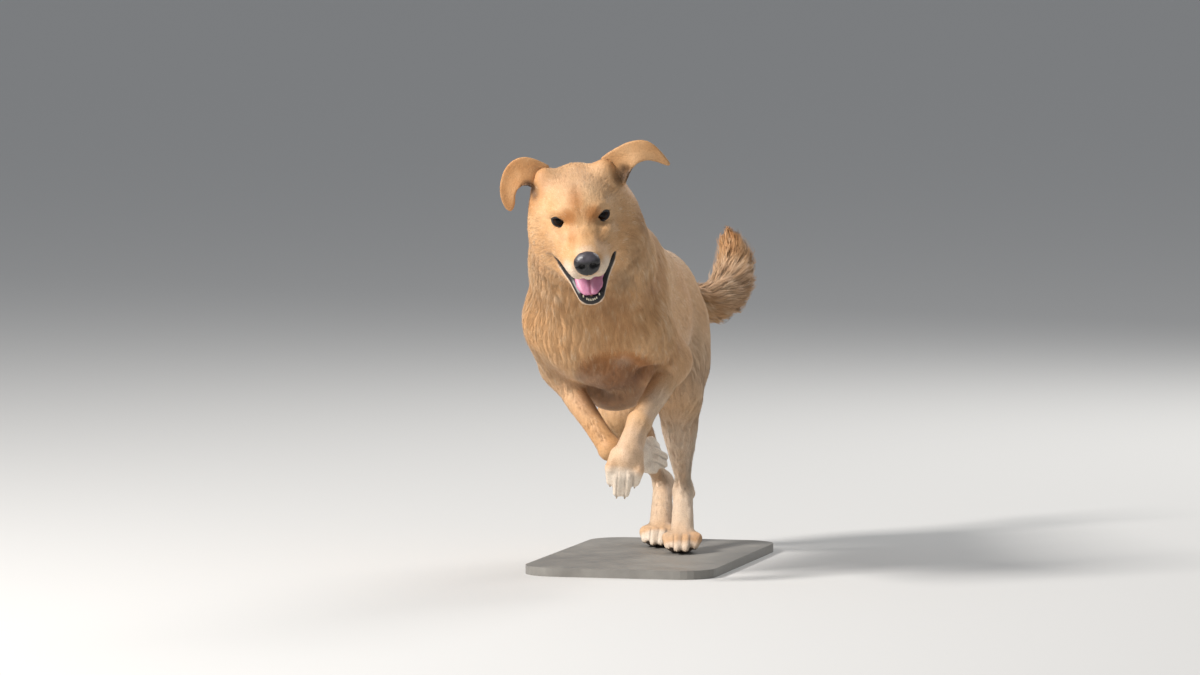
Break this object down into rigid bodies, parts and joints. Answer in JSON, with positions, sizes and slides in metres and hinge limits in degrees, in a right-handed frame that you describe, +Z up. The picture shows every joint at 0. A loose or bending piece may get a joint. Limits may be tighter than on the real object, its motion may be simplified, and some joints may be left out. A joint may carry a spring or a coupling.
{
  "type": "dog",
  "caption": "Life-size running tan dog with an open mouth, flying ears and a raised tail, on a plain flat display base.",
  "frame": {"origin": "centre of the display base's underside, on the floor", "axes": "the dog faces -Y, +X is its left side, +Z is up"},
  "size_m": [0.33, 1.0861, 0.7467],
  "materials": {
    "coat": "short dense tan fur",
    "coat_pale": "short cream fur",
    "coat_ear": "short rusty tan fur",
    "nose_leather": "damp dark leather",
    "eye": "wet glossy dark brown",
    "tongue": "wet pink",
    "stand": "plain satin grey"
  },
  "bodies": {
    "root": {"head": "coat", "lower_jaw": "coat_pale", "nose": "nose_leather", "tongue": "tongue", "eye_left": "eye", "eye_right": "eye", "ear_left": "coat_ear", "ear_right": "coat_ear", "neck": "coat", "trunk": "coat", "tail": "coat", "shoulder_left": "coat", "shoulder_right": "coat", "forearm_left": "coat", "forearm_right": "coat", "forepaw_left": "coat_pale", "forepaw_right": "coat_pale", "thigh_left": "coat", "thigh_right": "coat", "lower_leg_left": "coat", "lower_leg_right": "coat", "hind_paw_left": "coat_pale", "hind_paw_right": "coat_pale", "stand_base": "stand"}
  },
  "joints": []
}
